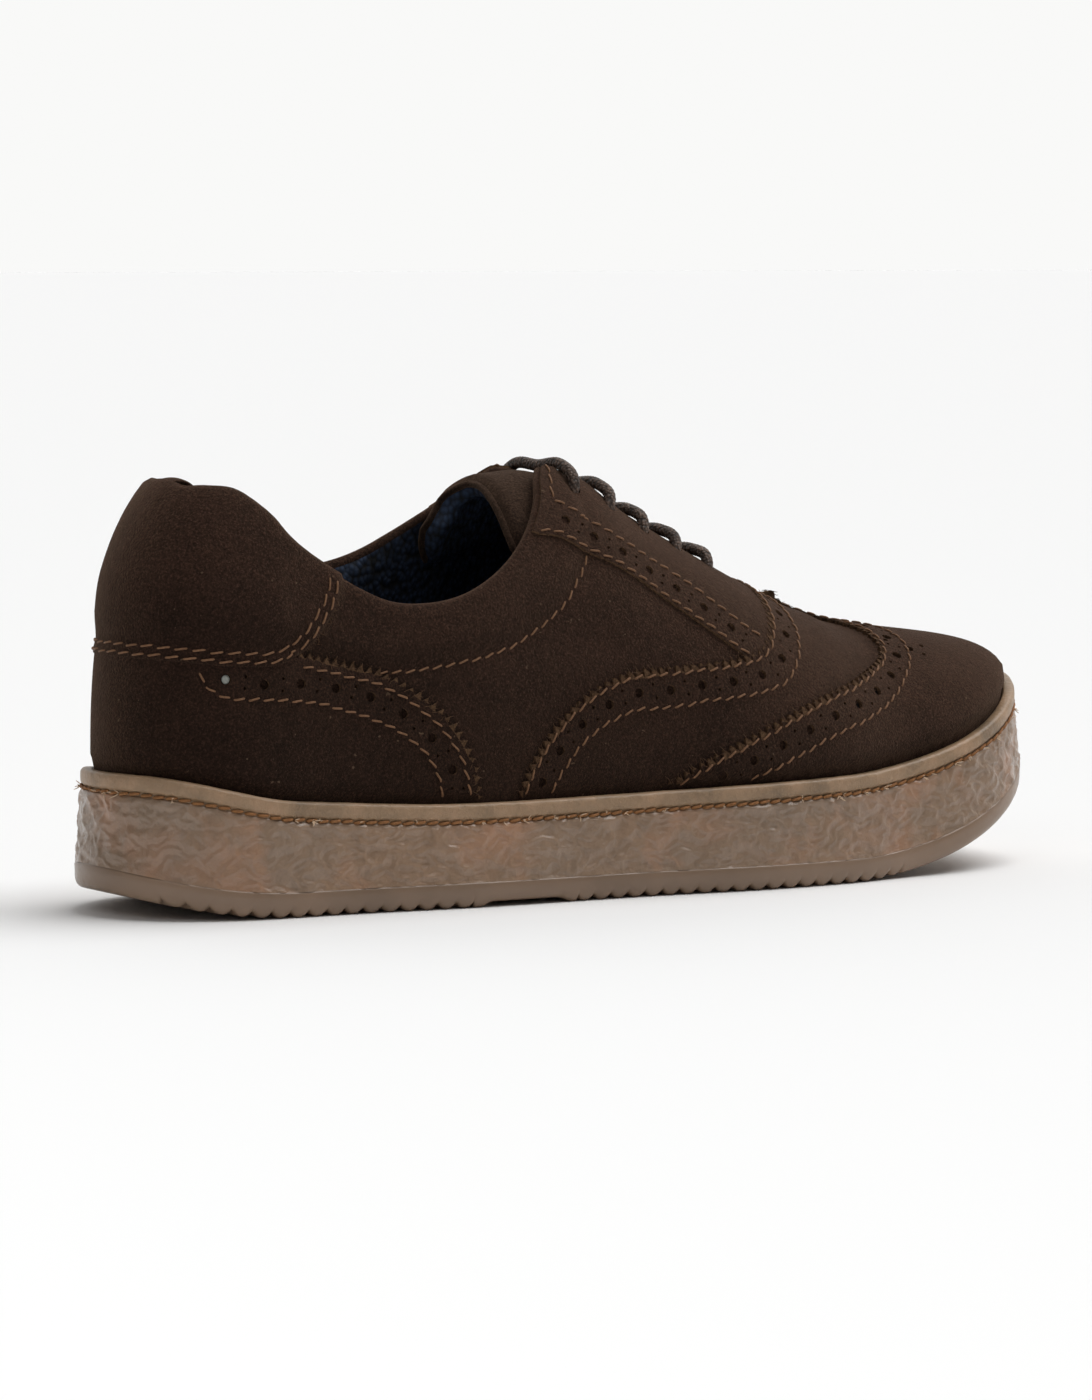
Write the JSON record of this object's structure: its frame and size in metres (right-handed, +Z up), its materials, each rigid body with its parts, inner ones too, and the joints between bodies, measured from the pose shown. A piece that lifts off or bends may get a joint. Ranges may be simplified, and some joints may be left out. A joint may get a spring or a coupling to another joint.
{
  "type": "casual lace-up shoe",
  "caption": "Low lace-up right shoe with a winged toe cap, layered stitched suede upper, padded collar, arched tongue and a thick cupped rubber sole with a cross-cut tread.",
  "frame": {"origin": "middle of the shoe's floor print, at the bottom centre of its bounding box", "axes": "+X along the shoe towards the toe, +Y towards the medial (inner) side, +Z up from the floor"},
  "size_m": [0.3034, 0.1054, 0.1215],
  "materials": {
    "smooth_rubber": "smooth, slightly glossy",
    "crepe_rubber": "crepe, worm-like wrinkles",
    "footbed": "matt",
    "brown_suede": "napped",
    "lace_cord": "waxed"
  },
  "bodies": {
    "root": {"outsole": "smooth_rubber", "cup_sole": "crepe_rubber", "insole": "footbed", "upper": "brown_suede", "tongue": "brown_suede", "lace_bar_1": "lace_cord", "lace_bar_2": "lace_cord", "lace_bar_3": "lace_cord", "lace_bar_4": "lace_cord", "lace_bar_5": "lace_cord"}
  },
  "joints": []
}
